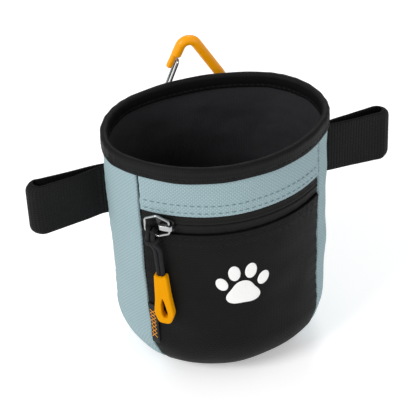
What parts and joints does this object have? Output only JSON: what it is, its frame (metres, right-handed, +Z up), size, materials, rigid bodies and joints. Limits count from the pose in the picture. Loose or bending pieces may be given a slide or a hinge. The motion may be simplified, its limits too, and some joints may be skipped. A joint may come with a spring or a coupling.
{
  "type": "treat pouch",
  "caption": "Oval fabric pouch with a bound open rim, zipped front pocket, webbing loops at both sides and a snap hook on a tab behind.",
  "frame": {"origin": "middle of the base, on the surface that the pouch stands on", "axes": "+Z up, -Y towards the zipped front, +X to the right seen from the front"},
  "size_m": [0.2039, 0.1031, 0.1637],
  "materials": {
    "blue_fabric": "fine oxford weave, matt",
    "black_fabric": "fine oxford weave, matt",
    "lining_fabric": "coated plain weave, slight sheen",
    "binding_ribbon": "ribbed grosgrain ribbon, matt",
    "webbing": "ribbed woven webbing, matt",
    "zip_tape": "herringbone zip tape, matt",
    "zip_coil": "moulded nylon coil",
    "hoop_steel": "plain drawn wire",
    "slider_enamel": "black enamel on die-cast zinc",
    "nickel_wire": "bright nickel plate",
    "pull_braid": "braided cord, matt",
    "grip_rubber": "satin moulded rubber",
    "hook_enamel": "satin orange enamel",
    "print_ink": "smooth screen print",
    "label_tape": "folded satin label"
  },
  "bodies": {
    "pouch": {"front_upper_panel": "blue_fabric", "pocket_panel": "black_fabric", "pocket_backing": "lining_fabric", "left_side_panel": "blue_fabric", "right_side_panel": "blue_fabric", "back_panel": "blue_fabric", "base_panel": "black_fabric", "lining": "lining_fabric", "rim_binding": "binding_ribbon", "rim_hoop": "hoop_steel", "zip_tape_upper": "zip_tape", "zip_tape_lower": "zip_tape", "zip_coil_upper": "zip_coil", "zip_coil_lower": "zip_coil", "left_webbing_loop": "webbing", "right_webbing_loop": "webbing", "carabiner_tab": "webbing", "side_label": "label_tape", "print_palm": "print_ink", "print_toe_1": "print_ink", "print_toe_2": "print_ink", "print_toe_3": "print_ink", "print_toe_4": "print_ink"},
    "zip_slider": {"slider_body": "slider_enamel", "slider_bridge": "nickel_wire"},
    "zip_ring": {"pull_ring": "nickel_wire"},
    "zip_pull": {"pull_cord": "pull_braid", "pull_grip": "grip_rubber"},
    "snap_hook": {"carabiner_body": "hook_enamel"},
    "snap_gate": {"carabiner_gate": "nickel_wire"}
  },
  "joints": [
    {"name": "zip_travel", "type": "hinge", "parent": "pouch", "child": "zip_slider", "pos_m": [0, 0.02421, 0.1076], "axis": [0, 0, 1], "range_deg": [0, 71]},
    {"name": "ring_swing", "type": "hinge", "parent": "zip_slider", "child": "zip_ring", "pos_m": [-0.03627, -0.03751, 0.10773], "axis": [0.0058, 0.0344, 0.9994], "range_deg": [0, 70]},
    {"name": "pull_swing", "type": "hinge", "parent": "zip_ring", "child": "zip_pull", "pos_m": [-0.04455, -0.0324, 0.10257], "axis": [-0.7758, 0.5106, 0.3708], "range_deg": [0, 85]},
    {"name": "hook_swing", "type": "hinge", "parent": "pouch", "child": "snap_hook", "pos_m": [0.0009, 0.0499, 0.111], "axis": [1, 0, 0], "range_deg": [-170, 5]},
    {"name": "gate_open", "type": "hinge", "parent": "snap_hook", "child": "snap_gate", "pos_m": [-0.01712, 0.0499, 0.12579], "axis": [0, 1, 0], "range_deg": [0, 26], "stiffness_Nm_per_rad": 0.02, "springref_deg": -11.46}
  ]
}
